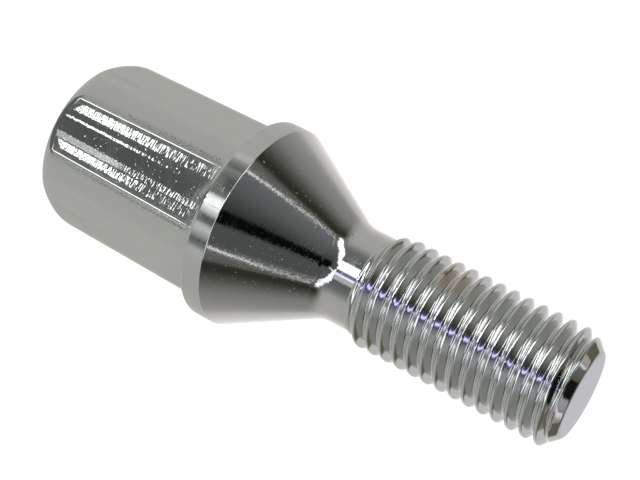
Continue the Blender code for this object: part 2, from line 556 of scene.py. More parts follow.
# %% Place and noise
def place_fields(tree):
    """The object's own coordinates in mm: the vector, and its three parts as fields."""
    where = tree.nodes.new("ShaderNodeTexCoord")
    scaled = tree.nodes.new("ShaderNodeVectorMath")
    scaled.operation = "SCALE"
    tree.links.new(where.outputs["Object"], scaled.inputs[0])
    scaled.inputs["Scale"].default_value = 1 / MM
    parts = tree.nodes.new("ShaderNodeSeparateXYZ")
    tree.links.new(scaled.outputs[0], parts.inputs[0])
    return scaled.outputs[0], [Field(tree, parts.outputs[at]) for at in range(3)]


def noise(tree, vector, scale, detail=2.0, roughness=0.5):
    """A noise texture over a vector, from 0 to 1 and mostly near 0.5."""
    made = tree.nodes.new("ShaderNodeTexNoise")
    tree.links.new(vector, made.inputs["Vector"])
    made.inputs["Scale"].default_value = scale
    made.inputs["Detail"].default_value = detail
    made.inputs["Roughness"].default_value = roughness
    return Field(tree, made.outputs["Fac"])


def vector_of(tree, x, y, z):
    """Three fields or numbers as one vector."""
    made = tree.nodes.new("ShaderNodeCombineXYZ")
    for at, value in enumerate((x, y, z)):
        feed(tree, value, made.inputs[at])
    return made.outputs[0]


# %% [markdown]
# ### Wear that all three finishes share
# Handling leaves the same traces everywhere: fine scratches in two directions, a haze where fingers and dust
# dulled the polish, and a slight drift of the chrome's own tint. They could be painted three times, but one
# node group keeps them alike, and each finish sets how strong they are. It puts out a colour, a roughness and
# a height, and leaves the shader to the material.

# %% Sockets of the wear group
wear = bpy.data.node_groups.new("plating_wear", "ShaderNodeTree")
wear.interface.new_socket("Place", in_out="INPUT", socket_type="NodeSocketVector")
for name in ("Scratches", "Haze", "Tint"):
    wear.interface.new_socket(name, in_out="INPUT", socket_type="NodeSocketFloat")
wear.interface.new_socket("Color", in_out="OUTPUT", socket_type="NodeSocketColor")
for name in ("Roughness", "Height"):
    wear.interface.new_socket(name, in_out="OUTPUT", socket_type="NodeSocketFloat")
wear_in = wear.nodes.new("NodeGroupInput")
wear_out = wear.nodes.new("NodeGroupOutput")
print("sockets of the wear group:", len(wear.interface.items_tree))

# %% Scratches, haze and tint
POLISHED = 0.035
HAZE_ROUGHNESS = 0.16
SCRATCH_ROUGHNESS = 0.12
SCRATCH_DEPTH = 0.0006
SCRATCHES_ALONG = ((0.5, 0.3, 0.0), (7.0, 7.0, 0.25))
SCRATCHES_ACROSS = ((1.1, -0.4, 0.9), (0.3, 9.0, 9.0))
SCRATCH_LEVELS = (0.66, 0.72)
HAZE_PER_MM = 0.45
HAZE_LEVELS = (0.46, 0.72)
HAZY = 0.86
HAZY_SHARE = 0.5
DRIFT_PER_MM = 0.28
DRIFT_LEVELS = (0.35, 0.65)
WARM_TINT = (1.02, 0.98, 1.02)


def scratch_lines(turn, squeeze):
    """Noise drawn out into long lines along the direction that is squeezed most. The turn comes after the
    squeeze, so it only picks another part of the noise."""
    mapping = wear.nodes.new("ShaderNodeMapping")
    wear.links.new(wear_in.outputs["Place"], mapping.inputs["Vector"])
    mapping.inputs["Rotation"].default_value = turn
    mapping.inputs["Scale"].default_value = squeeze
    return rise(noise(wear, mapping.outputs[0], 1.0, 1.0), *SCRATCH_LEVELS)


scratches = scratch_lines(*SCRATCHES_ALONG).math("MAXIMUM", scratch_lines(*SCRATCHES_ACROSS))
scratches = scratches * Field(wear, wear_in.outputs["Scratches"])
haze = rise(noise(wear, wear_in.outputs["Place"], HAZE_PER_MM, 4.0, 0.6), *HAZE_LEVELS)
haze = haze * Field(wear, wear_in.outputs["Haze"])
roughness = haze * HAZE_ROUGHNESS + scratches * SCRATCH_ROUGHNESS + POLISHED
feed(wear, roughness, wear_out.inputs["Roughness"])
feed(wear, scratches * -1, wear_out.inputs["Height"])
drift = rise(noise(wear, wear_in.outputs["Place"], DRIFT_PER_MM, 3.0), *DRIFT_LEVELS)
drift = drift * Field(wear, wear_in.outputs["Tint"])
tinted = painted(wear, drift, (*CHROME, 1), (*(CHROME * WARM_TINT), 1))
feed(wear, painted(wear, haze * HAZY_SHARE, tinted, (*(CHROME * HAZY), 1)), wear_out.inputs["Color"])
print("nodes in the wear group:", len(wear.nodes))


# %% Wear and bumps in a material
def worn(tree, shader, place, scratches, haze, tint):
    """Places the wear group in a material and feeds colour and roughness. Returns the group's node."""
    group = tree.nodes.new("ShaderNodeGroup")
    group.node_tree = wear
    tree.links.new(place, group.inputs["Place"])
    for name, value in (("Scratches", scratches), ("Haze", haze), ("Tint", tint)):
        group.inputs[name].default_value = value
    tree.links.new(group.outputs["Color"], shader.inputs["Base Color"])
    tree.links.new(group.outputs["Roughness"], shader.inputs["Roughness"])
    return group


def bumped(tree, height, depth_mm, normal=None):
    """A bump of a height field from 0 to 1 that is depth_mm deep, over another normal if one is given."""
    bump = tree.nodes.new("ShaderNodeBump")
    feed(tree, height, bump.inputs["Height"])
    bump.inputs["Distance"].default_value = depth_mm * MM
    if normal is not None:
        tree.links.new(normal, bump.inputs["Normal"])
    return bump.outputs[0]


# %% Leaning normals
def vector_step(tree, operation, first, second=None, scale=None):
    """A Vector Math node on one or two vectors and, for SCALE, a number."""
    made = tree.nodes.new("ShaderNodeVectorMath")
    made.operation = operation
    tree.links.new(first, made.inputs[0])
    if second is not None:
        tree.links.new(second, made.inputs[1])
    if scale is not None:
        feed(tree, scale, made.inputs["Scale"])
    return made.outputs[0]


def leaning_normal(tree, lean):
    """The surface normal tipped along the bolt's axis by a small angle in radians, towards the tip."""
    axis = tree.nodes.new("ShaderNodeVectorTransform")
    axis.vector_type = "VECTOR"
    axis.convert_from = "OBJECT"
    axis.convert_to = "WORLD"
    axis.inputs[0].default_value = (0, 0, 1)
    normal = tree.nodes.new("ShaderNodeNewGeometry").outputs["Normal"]
    tipped = vector_step(tree, "ADD", normal, vector_step(tree, "SCALE", axis.outputs[0], scale=lean))
    return vector_step(tree, "NORMALIZE", tipped)


# %% [markdown]
# ### The forged head
# The flats of the head carry rows of chatter marks: when the head is pushed out of its die, the die's edges
# scrape small steps into the flats, and the chrome only rounds them. Each mark is a spot that leans a few
# degrees towards the tip, so it shows the bright window while the flat round it shows the dark room. One row
# is dulled by a grey scuff towards the head's end, and the rounded edges are grainy beside each flat. A bump
# map of so shallow steps would need a very fine grid, so the lean is added to the normal itself. The pattern
# reads the "lay" map, in which every flat has its own stretch, so no two flats are alike. A row of marks is
# four numbers: its middle and its half width in mm, and how much of it the teeth cover at either end.

# %% Place on a flat
head_material, tree, shader = chrome_material("forged_head_plating")
place, _ = place_fields(tree)
head_wear = worn(tree, shader, place, scratches=0.12, haze=0.2, tint=0.6)
lay = tree.nodes.new("ShaderNodeUVMap")
lay.uv_map = "lay"
parts = tree.nodes.new("ShaderNodeSeparateXYZ")
tree.links.new(lay.outputs[0], parts.inputs[0])
round_mm = Field(tree, parts.outputs["X"]) * (1 / MM)
high_mm = Field(tree, parts.outputs["Y"]) * (1 / MM)
across = (round_mm + SIDE_SPACING / 2).math("MODULO", SIDE_SPACING) - SIDE_SPACING / 2
FLAT_START = (0.5, 0.9)
FLAT_ARCH = 0.2
FLAT_STOP = (0.8, 1.6)
near_end = rise(high_mm - across * across * FLAT_ARCH, *FLAT_START)
near_collar = rise(high_mm, head_height - FLAT_STOP[0], head_height - FLAT_STOP[1])
on_flat = near_end * near_collar
print(f"a side's skin lies from {top_across.min():.2f} to {top_across.max():.2f} mm of its flat's middle")

# %% Rows of chatter marks
TEETH_PER_MM = 6.6
TEETH_PER_MM_ACROSS = 0.9
TEETH_SLANT = 0.06
TEETH_EASE = 0.03
FRAYS_PER_MM = 2.4
FRAYS_PER_MM_ACROSS = 0.05
FRAY_WIDTH = 0.4
MARK_ROWS = ((-2.25, 0.5, 0.6, 0.41), (-0.92, 0.14, 0.66, 0.33),
             (1.25, 0.32, 0.45, 0.44), (2.2, 0.44, 0.6, 0.37))

teeth_along = (high_mm + across * TEETH_SLANT) * TEETH_PER_MM
teeth = noise(tree, vector_of(tree, round_mm * TEETH_PER_MM_ACROSS, teeth_along, 0.0), 1.0, 3.0, 0.6)
fray_place = vector_of(tree, round_mm * FRAYS_PER_MM_ACROSS, high_mm * FRAYS_PER_MM, 3.0)
frayed = across + (noise(tree, fray_place, 1.0, 3.0) - 0.5) * FRAY_WIDTH
towards_collar = rise(high_mm, 1.0, head_height - head_fillet)


def mark_row(middle, half_width, cover_at_end, cover_at_collar):
    """A lengthwise row of chatter marks, with teeth where their noise is under a cover. The cover changes
    along the head, from one share at its end to another at the collar."""
    cover = towards_collar * (cover_at_collar - cover_at_end) + cover_at_end
    row = inside(frayed, middle - half_width, middle + half_width, soft=0.12)
    return row * rise(teeth - cover, TEETH_EASE, -TEETH_EASE)


print("rows of marks on a flat:", len(MARK_ROWS))

# %% All marks of a flat
SPECKS_PER_MM = 4.5
SPECK_LEVELS = (0.74, 0.77)
SPECK_REACH = 2.9
specks = rise(noise(tree, vector_of(tree, round_mm, high_mm, 7.0), SPECKS_PER_MM, 1.0), *SPECK_LEVELS)
marks = specks * inside(across, -SPECK_REACH, SPECK_REACH, soft=0.1)
for middle, half_width, cover_at_end, cover_at_collar in MARK_ROWS:
    marks = marks.math("MAXIMUM", mark_row(middle, half_width, cover_at_end, cover_at_collar))
GRAINS_PER_MM = 9
GRAINS_PER_MM_ACROSS = 6
GRAIN_LEVELS = (0.30, 0.52)
GRAIN_DEPTH = 0.75
grain_place = vector_of(tree, round_mm * GRAINS_PER_MM_ACROSS, high_mm * GRAINS_PER_MM, 1.0)
grain = rise(noise(tree, grain_place, 1.0, 1.0), *GRAIN_LEVELS)
marks = marks * (grain * GRAIN_DEPTH + (1 - GRAIN_DEPTH))
print("nodes of the head with its marks:", len(tree.nodes))

# %% Dull row and grainy edges
DULL_ROW = (0.95, 1.6)
DULL_FADE = (12.0, 4.0)
DULL_ROUGHNESS = 0.12
DULL_GRAIN = 0.22
dull_row = inside(frayed, *DULL_ROW, soft=0.2) * rise(high_mm, *DULL_FADE) * on_flat
dulled = dull_row * (grain * DULL_GRAIN + DULL_ROUGHNESS) + Field(tree, head_wear.outputs["Roughness"])
feed(tree, dulled, shader.inputs["Roughness"])
DOTS_PER_MM = 7
DOT_LEVELS = (0.5, 0.64)
DOT_STRIPS = ((3.35, 4.0), (5.6, 6.25))
DOT_LEAN_AT_END = 0.076
DOT_LEAN_PER_MM = -0.0029
dots_place = vector_of(tree, round_mm * DOTS_PER_MM, high_mm * DOTS_PER_MM, 5.0)
dots = rise(noise(tree, dots_place, 1.0, 1.0), *DOT_LEVELS) * on_flat
beside_flat = inside(across, *DOT_STRIPS[0], soft=0.15) + inside(across, *DOT_STRIPS[1], soft=0.15)
dot_lean = high_mm * DOT_LEAN_PER_MM + DOT_LEAN_AT_END
MARK_LEAN = 0.085
marked = leaning_normal(tree, marks * on_flat * MARK_LEAN + dots * beside_flat * dot_lean)
tree.links.new(bumped(tree, head_wear.outputs["Height"], SCRATCH_DEPTH, marked), shader.inputs["Normal"])
print("nodes of the forged head:", len(tree.nodes))

# %% [markdown]
# ### The turned seat
# Collar and cone are smooth, but the plating picked up dust: tiny pits and pimples that break a thin
# reflection into sparks. They are drawn out a little along the cone, and get stronger towards the foot.

# %% Turned seat
CONE_START = (rim_z - 0.1, rim_z + 0.4)
CONE_STOP = (foot_z + 1.5, foot_z)
GRIT_PER_MM = 9
GRIT_PER_MM_ALONG = 5
GRIT_LEAN_AT_RIM = 0.05
GRIT_LEAN_MORE_AT_FOOT = 0.16
PITS_PER_MM = 4.5
PIT_LEVELS = (0.70, 0.75)
PIT_LEAN = 0.3

seat_material, tree, shader = chrome_material("turned_seat_plating")
place, (x_mm, y_mm, z_mm) = place_fields(tree)
seat_wear = worn(tree, shader, place, scratches=0.7, haze=0.5, tint=0.8)
towards_foot = rise(z_mm, rim_z, foot_z)
on_cone = rise(z_mm, *CONE_START) * rise(z_mm, *CONE_STOP)
grit_place = vector_of(tree, x_mm * GRIT_PER_MM, y_mm * GRIT_PER_MM, z_mm * GRIT_PER_MM_ALONG)
grit = noise(tree, grit_place, 1.0, 2.0, 0.6) - 0.5
pits = rise(noise(tree, place, PITS_PER_MM, 1.0), *PIT_LEVELS)
lean = grit * (towards_foot * GRIT_LEAN_MORE_AT_FOOT + GRIT_LEAN_AT_RIM) + pits * PIT_LEAN
seat_normal = leaning_normal(tree, lean * on_cone)
seat_bump = bumped(tree, seat_wear.outputs["Height"], SCRATCH_DEPTH, seat_normal)
tree.links.new(seat_bump, shader.inputs["Normal"])
print("nodes of the turned seat:", len(tree.nodes))

# %% [markdown]
# ### The rolled thread
# Rolling dies draw fine lines along the helix. The height along the helix is the height less one pitch per
# turn, so a noise that changes fast with this number and slowly round the bolt runs with the thread. Again
# the lines tip the normal to and fro along the bolt. The flank towards the tip is pressed smooth by the die,
# so it gets none, and neither do the run-out and the chamfer. A faint brown stain sits on a few ridges, where
# a drop of water stood, with one dark spot in it.

# %% Die lines
LINES_PER_MM = 6.5
LINES_PER_RADIUS = 1.6
LINE_LEAN = 0.35
LINES_START = (thread_z + 0.1, thread_z + 1.2)
LINES_STOP = (tip_z - 1.3, tip_z - 1.7)
TIP_FLANK = (0.12, 0.4)

thread_material, tree, shader = chrome_material("rolled_thread_plating")
place, (x_mm, y_mm, z_mm) = place_fields(tree)
thread_wear = worn(tree, shader, place, scratches=0.6, haze=0.35, tint=0.25)
turn_x = x_mm * (1 / crest_radius)
turn_y = y_mm * (1 / crest_radius)
climb = y_mm.math("ARCTAN2", x_mm) * (-thread_pitch / (2 * math.pi)) + z_mm
lead = (FIRST_FLAT + thread_lead_in) / (2 * math.pi)
phase = ((climb - thread_z) * (1 / thread_pitch) + lead).math("FRACT")
off_flank = inside(phase, *TIP_FLANK, soft=0.05) * -1 + 1
on_thread = rise(z_mm, *LINES_START) * rise(z_mm, *LINES_STOP)
lines_place = vector_of(tree, turn_x * LINES_PER_RADIUS, turn_y * LINES_PER_RADIUS, climb * LINES_PER_MM)
die_lines = noise(tree, lines_place, 1.0, 1.0) - 0.5
lined = leaning_normal(tree, die_lines * off_flank * on_thread * LINE_LEAN)
tree.links.new(bumped(tree, thread_wear.outputs["Height"], SCRATCH_DEPTH, lined), shader.inputs["Normal"])
print("nodes of the rolled thread with its lines:", len(tree.nodes))

# %% Stain and spot
STAIN_AT = (-4.4, -3.9, 43.7)
STAIN_EDGE = (8.5, 4.0)
STAIN_RAGGED = 8
STAIN_SHARE = 0.45
STAIN_TINT = (1.05, 0.8, 0.6)
SPOT_AT = (-4.15, 42.6)
SPOT_EDGE = (0.3, 0.12)
SPOT_RAGGED = 0.3
SPOT_SHARE = 0.8
SPOT_TINT = (0.4, 0.22, 0.2)


def squared(field):
    """The field times itself, for squared distances in mm."""
    return field * field


stain_far = squared(x_mm - STAIN_AT[0]) + squared(y_mm - STAIN_AT[1]) + squared(z_mm - STAIN_AT[2])
stain = rise(stain_far + noise(tree, place, 1.6, 3.0) * STAIN_RAGGED, *STAIN_EDGE)
stained = painted(tree, stain * STAIN_SHARE, thread_wear.outputs["Color"], (*(CHROME * STAIN_TINT), 1))
far_side = rise(y_mm, -1.0, 1.0)
spot_far = squared(x_mm - SPOT_AT[0]) + squared(z_mm - SPOT_AT[1]) + far_side
spot = rise(spot_far + noise(tree, place, 4.0, 2.0) * SPOT_RAGGED, *SPOT_EDGE)
stained = painted(tree, spot * SPOT_SHARE, stained, (*(CHROME * SPOT_TINT), 1))
tree.links.new(stained, shader.inputs["Base Color"])
print("nodes of the rolled thread:", len(tree.nodes))

# %% [markdown]
# ### Which stretch gets which finish
# The three finishes meet where the tools changed on the real bolt: at the foot of the head, and at the start
# of the thread. Each face takes its finish by the height of its middle. Painting a mask would do too, but
# these borders are known to a tenth of a millimetre.

# %% Give each stretch of the skin its material
HEAD_MARGIN = 0.05
NECK_MARGIN = 0.1

for material in (head_material, seat_material, thread_material):
    skin.materials.append(material)
centres = np.empty(3 * len(skin.polygons))
skin.polygons.foreach_get("center", centres)
face_z = centres[2::3] / MM
which = np.where(face_z < head_height - HEAD_MARGIN, 0, np.where(face_z < thread_z - NECK_MARGIN, 1, 2))
skin.polygons.foreach_set("material_index", which.astype(np.int32))
skin.update()
print("faces of head, seat and thread:", np.bincount(which).tolist())

# %% [markdown]
# ## The studio
# A mirror shows its surroundings, so the surroundings are the most of this picture. A photographer would hang
# soft boxes and dark cards round the bolt. Here they all are one function of direction in the world's own
# shader, because a mirror needs few of them, but each in an exact place. The bearing is counted in degrees
# from the camera's side and grows towards +X, and the height in degrees above the level. It is the bolt that
# lies in the real photo, but a world that turns with it is the same thing seen from the bolt.

# %% World and its directions
world = bpy.data.worlds.new("studio")
bpy.context.scene.world = world
world.use_nodes = True
tree = world.node_tree
tree.nodes.clear()
axes = tree.nodes.new("ShaderNodeSeparateXYZ")
tree.links.new(tree.nodes.new("ShaderNodeTexCoord").outputs["Generated"], axes.inputs[0])
sideways = Field(tree, axes.outputs["X"])
forwards = Field(tree, axes.outputs["Y"]) * -1
upwards = Field(tree, axes.outputs["Z"])
bearing = sideways.math("ARCTAN2", forwards).math("DEGREES")
height = upwards.math("ARCSINE").math("DEGREES")
away = bearing.size()
print("nodes that tell the direction:", len(tree.nodes))

# %% [markdown]
# ### Screen tones as light
# A tone is easy to judge on the screen and hard to judge as light. So the room is described by the tones that
# the chrome is to show, from 0 to 255, and a helper turns them into light: back through the screen's curve,
# then divided by the colour of the chrome for each reflection on the way. A colour ramp carries such tones
# along a field. Light chosen by trial would do as well, until someone changes the chrome.


# %% Tones and ramps
def light(level, reflections=1):
    """The light that chrome shows as a screen level from 0 to 255, or as three of them, after so many
    reflections. Each reflection takes the colour of the chrome once."""
    return (*np.broadcast_to(linear(level) / CHROME ** reflections, (3,)), 1)


def stretch(field, low, high, stops, reflections=1):
    """Colours that change with a field between low and high, from pairs of a value and its screen levels."""
    made = tree.nodes.new("ShaderNodeValToRGB")
    feed(tree, (field - low) * (1 / (high - low)), made.inputs["Fac"])
    elements = made.color_ramp.elements
    for at, (value, level) in enumerate(stops):
        place = (value - low) / (high - low)
        element = elements[at] if at < 2 else elements.new(place)
        element.position = place
        element.color = light(level, reflections)
    return made.outputs["Color"]


def ring(stops):
    """Colours round the bolt by the bearing, the same on both sides."""
    return stretch(away, 0, 180, stops)


print("white after three reflections needs a light of", np.round(light(255, 3)[:3], 1))

# %% [markdown]
# ### The walls of the room
# On a turned part, every point with the same slope looks at the same height, and only its bearing changes
# round the axis. So each part of the bolt has a level band of the room to itself, the lower ones first: head,
# collar, neck with the crests of the thread, fillet, cone, and the chamfer of the tip. A tone in such a band
# becomes a stripe along its part. The head sees a pale wall with a dark door in the middle, the collar a wall
# with more stripes, and the neck and the cone a wall that is dark in front and pale behind.

# %% Walls of head and collar
head_wall = ring([
    (0, (72, 76, 74)), (3, (104, 107, 103)), (6, (134, 137, 131)), (18, (148, 150, 144)),
    (30, (154, 156, 150)), (42, (157, 159, 153)), (180, (158, 160, 154))])
collar_wall = stretch(bearing, -75, 90, [
    (-66, (159, 160, 155)), (-58, (172, 173, 168)), (-55, (169, 170, 165)), (-52, (136, 140, 135)),
    (-47, (109, 114, 109)), (-43, (90, 95, 90)), (-39, (118, 123, 118)), (-33, (96, 101, 98)),
    (-28, (74, 79, 77)), (-20, (78, 83, 81)), (-14, (92, 97, 95)), (-9, (106, 111, 110)),
    (-6, (205, 210, 208)), (-3.5, (240, 245, 243)), (3, (262, 267, 265)), (7, (232, 237, 235)),
    (9, (208, 213, 211)), (12.5, (178, 183, 181)), (16, (106, 111, 109)), (19, (78, 83, 81)),
    (23, (94, 99, 97)), (27, (164, 169, 167)), (31, (182, 187, 185)), (35, (160, 165, 163)),
    (39, (134, 139, 137)), (44, (76, 81, 79)), (49, (100, 105, 103)), (53, (146, 150, 148)),
    (56, (166, 168, 165)), (63, (160, 161, 156)), (70, (156, 157, 152))])
print("nodes after two walls:", len(tree.nodes))

# %% Walls of neck and cone
low_wall = ring([
    (0, (72, 76, 75)), (12, (78, 82, 80)), (34, (88, 92, 90)), (48, (104, 108, 104)), (57, (130, 133, 127)),
    (66, (152, 154, 148)), (83, (159, 160, 154)), (104, (158, 158, 152)), (124, (165, 165, 160)),
    (145, (188, 188, 184)), (165, (204, 204, 202)), (180, (216, 216, 214))])
high_wall = ring([
    (0, (50, 53, 50)), (9, (62, 65, 63)), (17, (72, 76, 75)), (26, (82, 86, 86)), (43, (94, 98, 98)),
    (50, (96, 99, 96)), (60, (82, 84, 78)), (64, (46, 46, 39)), (69, (43, 43, 36)), (73, (52, 52, 45)),
    (81, (75, 76, 69)), (90, (100, 101, 96)), (99, (117, 118, 113)), (107, (124, 125, 121)),
    (124, (129, 130, 126)), (129, (142, 143, 141)), (134, (168, 169, 168)), (147, (176, 178, 176)),
    (165, (170, 172, 172)), (180, (161, 164, 168))])
print("nodes after four walls:", len(tree.nodes))

# %% Bands
HEAD_TOP = -28.0
COLLAR_TOP = -25.0
NECK_TOP = -19.6
CONE_TOP = 40.0
HEAD_EASE = 0.2
COLLAR_EASE = 0.5
WALLS_MEET = (-12, 14)
CONE_EASE = (3, 2)
UPPER_TONE = (112, 119, 113)
colour = painted(tree, rise(height, HEAD_TOP - HEAD_EASE, HEAD_TOP + HEAD_EASE), head_wall, collar_wall)
above_collar = rise(height, COLLAR_TOP - COLLAR_EASE, COLLAR_TOP + COLLAR_EASE)
colour = painted(tree, above_collar, colour, low_wall)
colour = painted(tree, rise(height, *WALLS_MEET), colour, high_wall)
above_cone = rise(height, CONE_TOP - CONE_EASE[0], CONE_TOP + CONE_EASE[1])
colour = painted(tree, above_cone, colour, light(UPPER_TONE))
print("bands end at degrees:", HEAD_TOP, COLLAR_TOP, NECK_TOP, CONE_TOP)

# %% [markdown]
# ### Below and overhead
# Low in front the floor is in shade, so the rolled end of the head's front flat shows the same dark grey as
# the flat, and no bright rim. The chamfer of the tip looks so far up that it mirrors the ceiling in front:
# panels of different tones, with two thin tubes of light between them and a black skylight in the middle.
# They are laid out by the distance sideways, so they come out as straight patches across the chamfer. A dark
# patch at the back is what the two ends of the chamfer show.

# %% Floor shade
SHADE_TOP = (-36, -39)
SHADE_SIDE = (26, 12)
SHADE_TONE = (84, 88, 85)
below = rise(height, *SHADE_TOP) * rise(away, *SHADE_SIDE)
colour = painted(tree, below, colour, light(SHADE_TONE))
print("the floor is in shade below degrees:", SHADE_TOP[0])

# %% Ceiling
CEILING_BACK = (-0.5, -0.4)
CEILING_EDGE = (47, 49)
CEILING_EDGE_SLANT = 0.12
ceiling_in_front = rise(forwards, *CEILING_BACK) * rise(height + away * CEILING_EDGE_SLANT, *CEILING_EDGE)
ceiling = stretch(sideways, -1, 1, [
    (-1.0, (134, 131, 116)), (-0.66, (140, 137, 122)), (-0.6, (158, 155, 141)), (-0.54, (142, 139, 134)),
    (-0.52, (206, 202, 216)), (-0.5, (190, 187, 198)), (-0.47, (96, 95, 96)), (-0.32, (84, 87, 85)),
    (-0.28, (86, 82, 62)), (-0.22, (78, 74, 52)), (-0.19, (18, 19, 18)), (0.2, (18, 19, 18)),
    (0.27, (146, 145, 148)), (0.43, (144, 144, 145)), (0.49, (122, 119, 118)), (0.52, (214, 202, 212)),
    (0.56, (200, 190, 198)), (0.6, (140, 136, 126)), (0.8, (164, 160, 151)), (1.0, (120, 117, 102))])
colour = painted(tree, ceiling_in_front, colour, ceiling)
TIP_PATCH_SIDE = (117.0, 146.0)
TIP_PATCH_EDGE = (131, 134)
TIP_PATCH_SLANT = 0.8
TIP_PATCH_FOOT = (12, 16)
TIP_PATCH_TONE = (88, 86, 72)
beside_tip = inside(away, *TIP_PATCH_SIDE, soft=4)
beside_tip = beside_tip * rise(height + away * TIP_PATCH_SLANT, *TIP_PATCH_EDGE)
beside_tip = beside_tip * rise(height, *TIP_PATCH_FOOT)
colour = painted(tree, beside_tip, colour, light(TIP_PATCH_TONE))
print("nodes of the room with its ceiling:", len(tree.nodes))

# %% [markdown]
# ### The window
# One window lights the bolt from the camera's side. The neck shows it as a white stripe, the die lines of the
# thread break it into sparks, and the fillet bends its two frames into arms that spread like a Y. Its right
# half has a blind, so it is dimmer, and a dark violet bar with a soft grey strip beside it separates the two.
# The hook is the small reflection where the blind ends. All of these are brighter than white paper, so that
# a small part of them is still white.

# %% Window
PANE = (3.7, 3.5, 3.6, 1)
BLIND = (1.75, 1.62, 1.9, 1)
WINDOW_HALF = 16.5
WINDOW_TOP = NECK_TOP + 1.1
BLIND_SIDE = (4, 2)
SOFT_SIDE = (16.0, 26.5)
SOFT_TONE = (166, 173, 166)
behind_blind = rise(bearing, *BLIND_SIDE)
window = inside(bearing, -WINDOW_HALF, WINDOW_HALF, soft=2)
window = window * inside(height, COLLAR_TOP, WINDOW_TOP, soft=0.5)
colour = painted(tree, window, colour, painted(tree, behind_blind, BLIND, PANE))
soft_side = inside(bearing, *SOFT_SIDE, soft=4) * inside(height, COLLAR_TOP, NECK_TOP, soft=0.5)
colour = painted(tree, soft_side, colour, light(SOFT_TONE))
print("the window is", 2 * WINDOW_HALF, "degrees wide and", round(WINDOW_TOP - COLLAR_TOP, 1), "high")

# %% Arms
ARM = (2.7, 2.6, 2.65, 1)
ARM_WITH_BLIND = (1.9, 1.8, 1.95, 1)
ARM_SIDES = (6, 58)
ARM_START = (-19, -17.5)
ARM_UNDER = (1.1, -53)
ARM_OVER_STEEP = (1.03, -30)
ARM_OVER_FLAT = (0.6, -17.8)
ARM_TOP = 18


def slanted(field, slope, at_zero):
    """A straight line over a field: slope field + the value at 0."""
    return field * slope + at_zero


arm_over = slanted(away, *ARM_OVER_STEEP).math("MAXIMUM", slanted(away, *ARM_OVER_FLAT))
arm_over = arm_over.math("MINIMUM", ARM_TOP)
arms = inside(height, slanted(away, *ARM_UNDER), arm_over, soft=3) * inside(away, *ARM_SIDES, soft=4)
arms = arms * rise(height, *ARM_START)
colour = painted(tree, arms, colour, painted(tree, behind_blind, ARM_WITH_BLIND, ARM))
print("the arms rise to degrees:", ARM_TOP)

# %% Hook and bar
HOOK_BEARING = 9.5
HOOK_SLANT = 0.22
HOOK_WIDTH = (1.9, 0.9)
HOOK_TOP = 4
HOOK_TONE = (225, 230, 229)
hook_distance = (bearing - HOOK_BEARING + height * HOOK_SLANT).size()
hook = rise(hook_distance, *HOOK_WIDTH) * inside(height, NECK_TOP, HOOK_TOP, soft=3)
colour = painted(tree, hook, colour, light(HOOK_TONE))
BAR = (2.6, 11.2)
BAR_EASE = (4, 9)
BAR_STRIP_TONE = (66, 70, 76)
BAR_TONE = (84, 84, 134)
bar = inside(bearing, *BAR, soft=2) * inside(height, COLLAR_TOP, NECK_TOP, soft=1)
bar_colour = painted(tree, rise(bearing, *BAR_EASE), light(BAR_STRIP_TONE), light(BAR_TONE))
colour = painted(tree, bar, colour, bar_colour)
print("the bar is", round(BAR[1] - BAR[0], 1), "degrees wide")

# %% [markdown]
# ### The black card and the thin lights
# A black card in front gives the cone its black wedge, without which bright metal looks like plastic. Its two
# edges draw together towards the foot of the cone, and on the fillet it tapers to a point. Beside it hangs a
# dark grey card. Two thin tubes high on either side are the sparkling lines along the cone, and two short
# ones low in front draw the bright lines along the edges of the head's front flat.

# %% Black card and grey card
FILLET_TO_CONE = (26, 31)
CARD_SLANT = -1.3
CARD_START_AT = (33, 2.6)
CARD_END_AT = (32.4, 18.6)
CARD_START_ON_FILLET = -4
CARD_POINT_AT = (5, 6)
CARD_POINT_SLANT = 0.9
CARD_END_ON_FILLET = 10.5
CARD_FOOT = (0, 6)
CARD_HEAD = (52, 46)
CARD_TONE = (5, 9, 7)
over_cone = rise(height, *FILLET_TO_CONE)
over_fillet = over_cone * -1 + 1
card_start_on_cone = slanted(height - CARD_START_AT[0], CARD_SLANT, CARD_START_AT[1])
card_start = card_start_on_cone * over_cone + over_fillet * CARD_START_ON_FILLET
card_end_on_cone = slanted(height - CARD_END_AT[0], CARD_SLANT, CARD_END_AT[1])
card_point = slanted(height - CARD_POINT_AT[0], CARD_POINT_SLANT, CARD_POINT_AT[1])
card_end = card_end_on_cone * over_cone + card_point.math("MINIMUM", CARD_END_ON_FILLET) * over_fillet
card = inside(bearing, card_start, card_end, soft=4.5) * rise(height, *CARD_FOOT) * rise(height, *CARD_HEAD)
GREY_CARD = (17.0, 44.0)
GREY_CARD_FOOT = (12, 20)
GREY_CARD_HEAD = (46, 40)
GREY_CARD_TONE = (70, 74, 72)
grey_card = inside(bearing, *GREY_CARD, soft=8) * rise(height, *GREY_CARD_FOOT)
grey_card = grey_card * rise(height, *GREY_CARD_HEAD)
colour = painted(tree, grey_card, colour, light(GREY_CARD_TONE))
colour = painted(tree, card, colour, light(CARD_TONE))
print("tones of the cards:", CARD_TONE, GREY_CARD_TONE)

